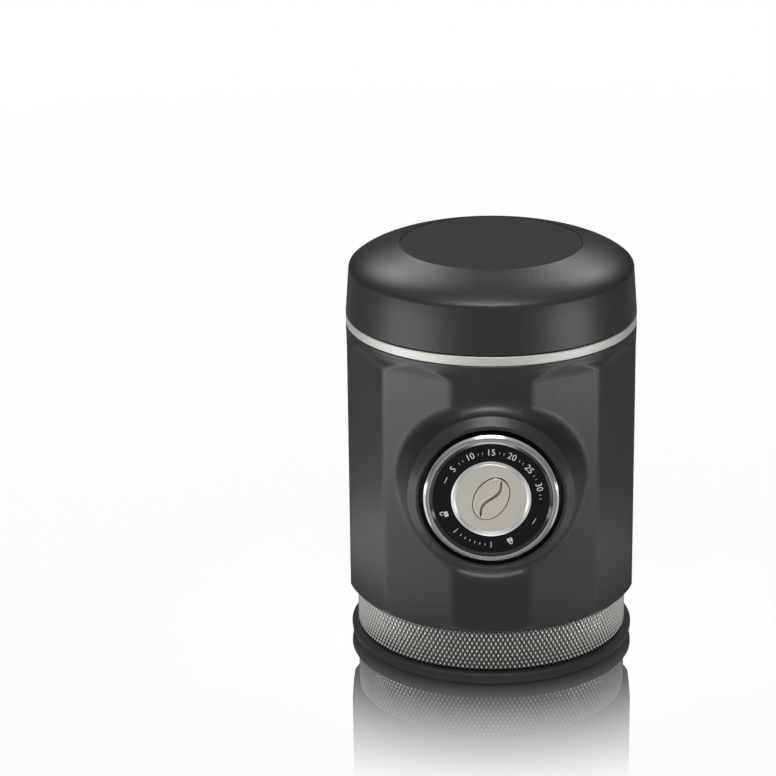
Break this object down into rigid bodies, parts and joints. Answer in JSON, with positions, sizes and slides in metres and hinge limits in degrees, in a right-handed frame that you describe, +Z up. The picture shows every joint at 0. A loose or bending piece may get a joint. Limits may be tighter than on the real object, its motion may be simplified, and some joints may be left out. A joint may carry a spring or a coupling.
{
  "type": "handheld espresso maker",
  "caption": "Handheld manual espresso maker: faceted black housing with thumb pump, lidded water tank, knurled portafilter and funnel foot.",
  "frame": {"origin": "on the body's vertical axis, in the plane that the funnel foot stands on, where the coffee runs out", "axes": "+Z up along the body, -Y forwards out of the thumb button, +X to the right seen from the button side"},
  "size_m": [0.073, 0.079, 0.1049],
  "materials": {
    "body_plastic": "fine-textured charcoal black",
    "inlay_plastic": "smooth matt black",
    "satin_steel": "satin",
    "knurled_steel": "diamond knurled grip, turned neck",
    "basket_steel": "polished",
    "chrome": "polished",
    "dial_black": "glossy black with pale ticks",
    "badge_nickel": "satin nickel",
    "inner_plastic": "moulded black",
    "tool_plastic": "smooth matt black",
    "tank_plastic": "smoked grey",
    "pump_metal": "honed",
    "silicone": "matt silicone",
    "spring_steel": "bright",
    "tube_plastic": "milky"
  },
  "bodies": {
    "housing": {"housing_shell": "body_plastic", "trim_ring": "satin_steel", "tank_cup": "tank_plastic", "chassis": "inner_plastic", "pump_cylinder": "pump_metal", "cylinder_cap": "inner_plastic", "guide_bush": "inner_plastic", "valve_block": "inner_plastic", "block_screws": "spring_steel", "inlet_valve": "silicone", "outlet_valve": "silicone", "intake_tube": "tube_plastic", "delivery_tube": "tube_plastic", "brew_head": "inner_plastic", "head_screws": "spring_steel", "head_gasket": "silicone", "shower_screen": "basket_steel", "screen_screw": "spring_steel", "bayonet_ring": "basket_steel"},
    "piston": {"piston_rod": "pump_metal", "piston_head": "inner_plastic", "piston_seal": "silicone", "return_spring": "spring_steel"},
    "button": {"button_cap": "body_plastic", "retaining_clip": "spring_steel", "button_bezel": "chrome", "dial_ring": "dial_black", "badge_ring": "chrome", "badge_disc": "badge_nickel"},
    "lid_seal": {"lid_gasket": "silicone"},
    "lid": {"lid_shell": "body_plastic", "lid_pad": "inlay_plastic"},
    "basket": {"filter_basket": "basket_steel"},
    "tamper": {"tamper_base": "basket_steel", "tamper_handle": "tool_plastic"},
    "distribution_tool": {"tool_knob": "tool_plastic", "needles": "basket_steel"},
    "portafilter": {"portafilter_ring": "knurled_steel"},
    "funnel": {"dosing_funnel": "body_plastic", "funnel_seal": "silicone"}
  },
  "joints": [
    {"name": "piston_slide", "type": "slide", "parent": "housing", "child": "piston", "axis": [0, -1, 0], "range_m": [0, 0.02], "stiffness_N_per_m": 300, "springref_m": 0.025, "deforming": ["return_spring"]},
    {"name": "button_twist", "type": "hinge", "parent": "piston", "child": "button", "pos_m": [0, -0.03, 0.05296], "axis": [0, -1, 0], "range_deg": [0, 45]},
    {"name": "lid_lift", "type": "slide", "parent": "housing", "child": "lid_seal", "axis": [0, 0, 1], "range_m": [0, 0.035]},
    {"name": "lid_turn", "type": "hinge", "parent": "lid_seal", "child": "lid", "pos_m": [0, 0, 0.09], "axis": [0, 0, 1], "range_deg": [0, 60]},
    {"name": "portafilter_lift", "type": "slide", "parent": "funnel", "child": "portafilter", "axis": [0, 0, 1], "range_m": [0, 0.02]},
    {"name": "bayonet_turn", "type": "hinge", "parent": "portafilter", "child": "basket", "pos_m": [0, 0, 0.01], "axis": [0, 0, -1], "range_deg": [0, 60]},
    {"name": "housing_lift", "type": "slide", "parent": "basket", "child": "housing", "axis": [0, 0, 1], "range_m": [0, 0.045]},
    {"name": "tamper_lift", "type": "slide", "parent": "basket", "child": "tamper", "axis": [0, 0, 1], "range_m": [0, 0.0225]},
    {"name": "tool_lift", "type": "slide", "parent": "tamper", "child": "distribution_tool", "axis": [0, 0, 1], "range_m": [0, 0.018]}
  ],
  "couplings": [
    {"joint": "tamper_lift", "follows": "housing_lift", "ratio": 0.5},
    {"joint": "tool_lift", "follows": "housing_lift", "ratio": 0.4}
  ]
}
